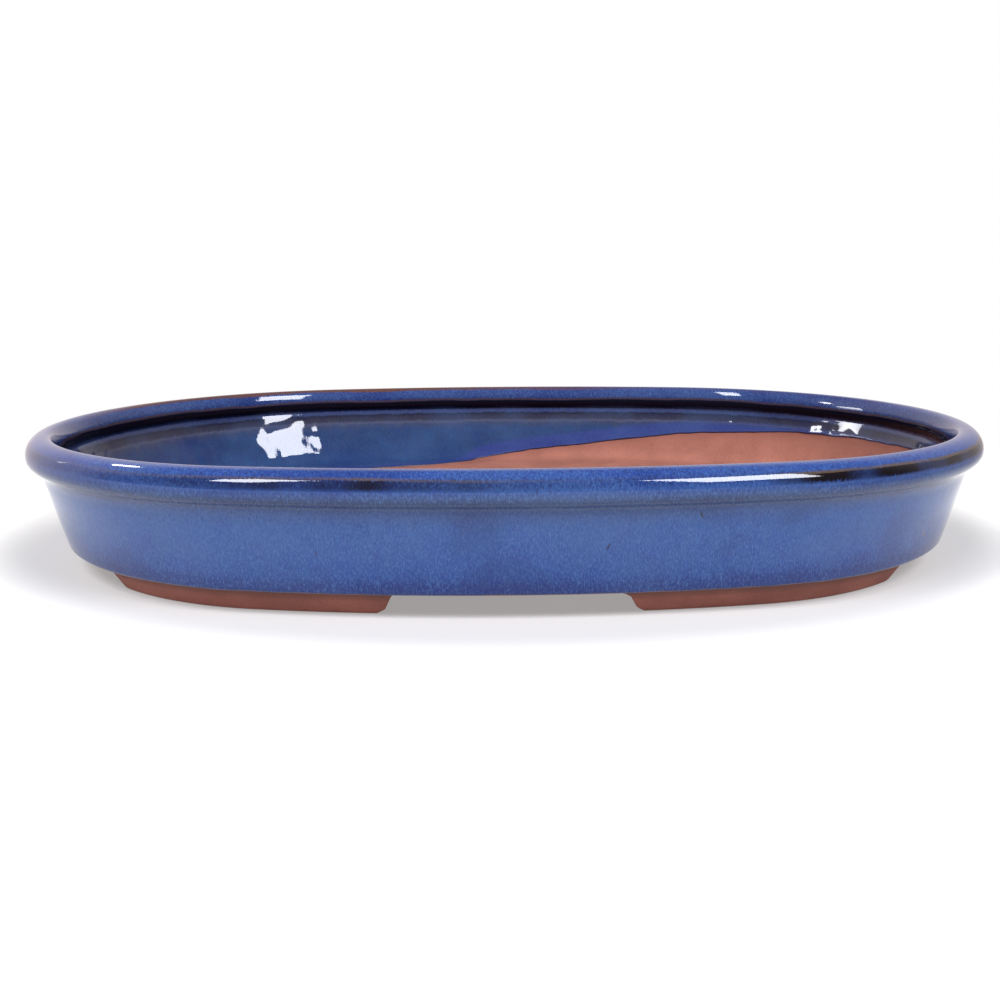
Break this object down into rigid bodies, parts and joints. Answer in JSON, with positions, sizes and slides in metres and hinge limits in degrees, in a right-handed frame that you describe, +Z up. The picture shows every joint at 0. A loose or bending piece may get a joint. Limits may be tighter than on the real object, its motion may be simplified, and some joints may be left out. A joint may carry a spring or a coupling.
{
  "type": "bonsai pot",
  "caption": "Large shallow oval tray pot on four bracket feet, with a rolled lip and leaning walls; blue streaked glaze outside, bare red clay floor and feet.",
  "frame": {"origin": "centre of the pot's footprint, on the plane that its feet rest on", "axes": "+X along the oval's long axis, +Y across it to the back, +Z up"},
  "size_m": [0.4998, 0.34, 0.0675],
  "materials": {
    "fired_clay": "bare red-brown stoneware, matt, fine dark specks",
    "foot_clay": "bare brown stoneware, matt, slightly darker than the floor",
    "blue_glaze": "glossy mid-blue with fine vertical streaks, dark where thick, brown where thin"
  },
  "bodies": {
    "root": {"floor_slab": "fired_clay", "wall_band": "fired_clay", "rolled_lip": "fired_clay", "glaze_coat": "blue_glaze", "foot_front_left": "foot_clay", "foot_front_right": "foot_clay", "foot_back_left": "foot_clay", "foot_back_right": "foot_clay"}
  },
  "joints": []
}
